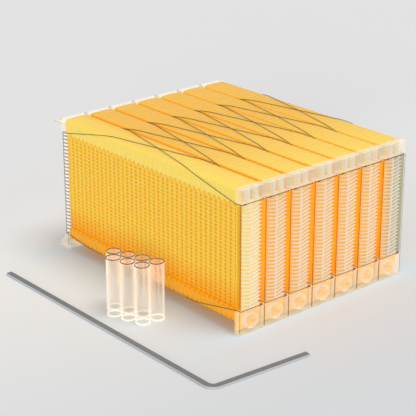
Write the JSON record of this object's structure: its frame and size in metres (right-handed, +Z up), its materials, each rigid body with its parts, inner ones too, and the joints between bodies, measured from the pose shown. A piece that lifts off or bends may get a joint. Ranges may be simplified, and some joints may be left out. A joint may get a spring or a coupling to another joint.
{
  "type": "flow comb honey frame pack",
  "caption": "Row of moulded honeycomb frames with clear end frames, outlet plugs and tension wires, with loose harvest tubes and a bent flat key.",
  "frame": {"origin": "middle of the underside of the fourth frame's front foot, on the floor", "axes": "+X across the frames, +Y from the harvest end to the rear end, +Z up"},
  "size_m": [0.5053, 0.5981, 0.2409],
  "materials": {
    "comb": "translucent moulded",
    "clear_frame": "clear moulded",
    "clear_plug": "clear moulded",
    "tube": "clear polished",
    "wire": "drawn wire",
    "key": "brushed flat bar"
  },
  "bodies": {
    "frame_1": {"front_end_frame_1": "clear_frame", "rear_end_frame_1": "clear_frame", "comb_fixed_1": "comb", "top_wire_1": "wire", "bottom_wire_1": "wire"},
    "frame_2": {"front_end_frame_2": "clear_frame", "rear_end_frame_2": "clear_frame", "comb_fixed_2": "comb", "top_wire_2": "wire", "bottom_wire_2": "wire"},
    "frame_3": {"front_end_frame_3": "clear_frame", "rear_end_frame_3": "clear_frame", "comb_fixed_3": "comb", "top_wire_3": "wire", "bottom_wire_3": "wire"},
    "frame_4": {"front_end_frame_4": "clear_frame", "rear_end_frame_4": "clear_frame", "comb_fixed_4": "comb", "top_wire_4": "wire", "bottom_wire_4": "wire"},
    "frame_5": {"front_end_frame_5": "clear_frame", "rear_end_frame_5": "clear_frame", "comb_fixed_5": "comb", "top_wire_5": "wire", "bottom_wire_5": "wire"},
    "frame_6": {"front_end_frame_6": "clear_frame", "rear_end_frame_6": "clear_frame", "comb_fixed_6": "comb", "top_wire_6": "wire", "bottom_wire_6": "wire"},
    "frame_7": {"front_end_frame_7": "clear_frame", "rear_end_frame_7": "clear_frame", "comb_fixed_7": "comb", "top_wire_7": "wire", "bottom_wire_7": "wire"},
    "cell_shift_1": {"comb_moving_1": "comb"},
    "plug_1": {"outlet_plug_1": "clear_plug"},
    "tube_1": {"harvest_tube_1": "tube"},
    "cell_shift_2": {"comb_moving_2": "comb"},
    "plug_2": {"outlet_plug_2": "clear_plug"},
    "tube_2": {"harvest_tube_2": "tube"},
    "cell_shift_3": {"comb_moving_3": "comb"},
    "plug_3": {"outlet_plug_3": "clear_plug"},
    "tube_3": {"harvest_tube_3": "tube"},
    "cell_shift_4": {"comb_moving_4": "comb"},
    "plug_4": {"outlet_plug_4": "clear_plug"},
    "tube_4": {"harvest_tube_4": "tube"},
    "cell_shift_5": {"comb_moving_5": "comb"},
    "plug_5": {"outlet_plug_5": "clear_plug"},
    "tube_5": {"harvest_tube_5": "tube"},
    "cell_shift_6": {"comb_moving_6": "comb"},
    "plug_6": {"outlet_plug_6": "clear_plug"},
    "tube_6": {"harvest_tube_6": "tube"},
    "cell_shift_7": {"comb_moving_7": "comb"},
    "plug_7": {"outlet_plug_7": "clear_plug"},
    "tube_7": {"harvest_tube_7": "tube"},
    "key": {"key": "key"}
  },
  "joints": [
    {"name": "frame_1_lift", "type": "slide", "parent": "frame_4", "child": "frame_1", "axis": [0, 0, 1], "range_m": [0, 0.25]},
    {"name": "frame_2_lift", "type": "slide", "parent": "frame_4", "child": "frame_2", "axis": [0, 0, 1], "range_m": [0, 0.25]},
    {"name": "frame_3_lift", "type": "slide", "parent": "frame_4", "child": "frame_3", "axis": [0, 0, 1], "range_m": [0, 0.25]},
    {"name": "frame_5_lift", "type": "slide", "parent": "frame_4", "child": "frame_5", "axis": [0, 0, 1], "range_m": [0, 0.25]},
    {"name": "frame_6_lift", "type": "slide", "parent": "frame_4", "child": "frame_6", "axis": [0, 0, 1], "range_m": [0, 0.25]},
    {"name": "frame_7_lift", "type": "slide", "parent": "frame_4", "child": "frame_7", "axis": [0, 0, 1], "range_m": [0, 0.25]},
    {"name": "cells_1_open", "type": "slide", "parent": "frame_1", "child": "cell_shift_1", "axis": [0, 0, -1], "range_m": [0, 0.0032]},
    {"name": "cells_2_open", "type": "slide", "parent": "frame_2", "child": "cell_shift_2", "axis": [0, 0, -1], "range_m": [0, 0.0032]},
    {"name": "cells_3_open", "type": "slide", "parent": "frame_3", "child": "cell_shift_3", "axis": [0, 0, -1], "range_m": [0, 0.0032]},
    {"name": "cells_4_open", "type": "slide", "parent": "frame_4", "child": "cell_shift_4", "axis": [0, 0, -1], "range_m": [0, 0.0032]},
    {"name": "cells_5_open", "type": "slide", "parent": "frame_5", "child": "cell_shift_5", "axis": [0, 0, -1], "range_m": [0, 0.0032]},
    {"name": "cells_6_open", "type": "slide", "parent": "frame_6", "child": "cell_shift_6", "axis": [0, 0, -1], "range_m": [0, 0.0032]},
    {"name": "cells_7_open", "type": "slide", "parent": "frame_7", "child": "cell_shift_7", "axis": [0, 0, -1], "range_m": [0, 0.0032]},
    {"name": "plug_1_pull", "type": "slide", "parent": "frame_1", "child": "plug_1", "axis": [0, -1, 0], "range_m": [0, 0.04]},
    {"name": "plug_2_pull", "type": "slide", "parent": "frame_2", "child": "plug_2", "axis": [0, -1, 0], "range_m": [0, 0.04]},
    {"name": "plug_3_pull", "type": "slide", "parent": "frame_3", "child": "plug_3", "axis": [0, -1, 0], "range_m": [0, 0.04]},
    {"name": "plug_4_pull", "type": "slide", "parent": "frame_4", "child": "plug_4", "axis": [0, -1, 0], "range_m": [0, 0.04]},
    {"name": "plug_5_pull", "type": "slide", "parent": "frame_5", "child": "plug_5", "axis": [0, -1, 0], "range_m": [0, 0.04]},
    {"name": "plug_6_pull", "type": "slide", "parent": "frame_6", "child": "plug_6", "axis": [0, -1, 0], "range_m": [0, 0.04]},
    {"name": "plug_7_pull", "type": "slide", "parent": "frame_7", "child": "plug_7", "axis": [0, -1, 0], "range_m": [0, 0.04]},
    {"name": "tube_1_lift", "type": "slide", "parent": "frame_4", "child": "tube_1", "axis": [0, 0, 1], "range_m": [0, 0.12]},
    {"name": "tube_2_lift", "type": "slide", "parent": "frame_4", "child": "tube_2", "axis": [0, 0, 1], "range_m": [0, 0.12]},
    {"name": "tube_3_lift", "type": "slide", "parent": "frame_4", "child": "tube_3", "axis": [0, 0, 1], "range_m": [0, 0.12]},
    {"name": "tube_4_lift", "type": "slide", "parent": "frame_4", "child": "tube_4", "axis": [0, 0, 1], "range_m": [0, 0.12]},
    {"name": "tube_5_lift", "type": "slide", "parent": "frame_4", "child": "tube_5", "axis": [0, 0, 1], "range_m": [0, 0.12]},
    {"name": "tube_6_lift", "type": "slide", "parent": "frame_4", "child": "tube_6", "axis": [0, 0, 1], "range_m": [0, 0.12]},
    {"name": "tube_7_lift", "type": "slide", "parent": "frame_4", "child": "tube_7", "axis": [0, 0, 1], "range_m": [0, 0.12]},
    {"name": "key_lift", "type": "slide", "parent": "frame_4", "child": "key", "axis": [0, 0, 1], "range_m": [0, 0.15]}
  ]
}
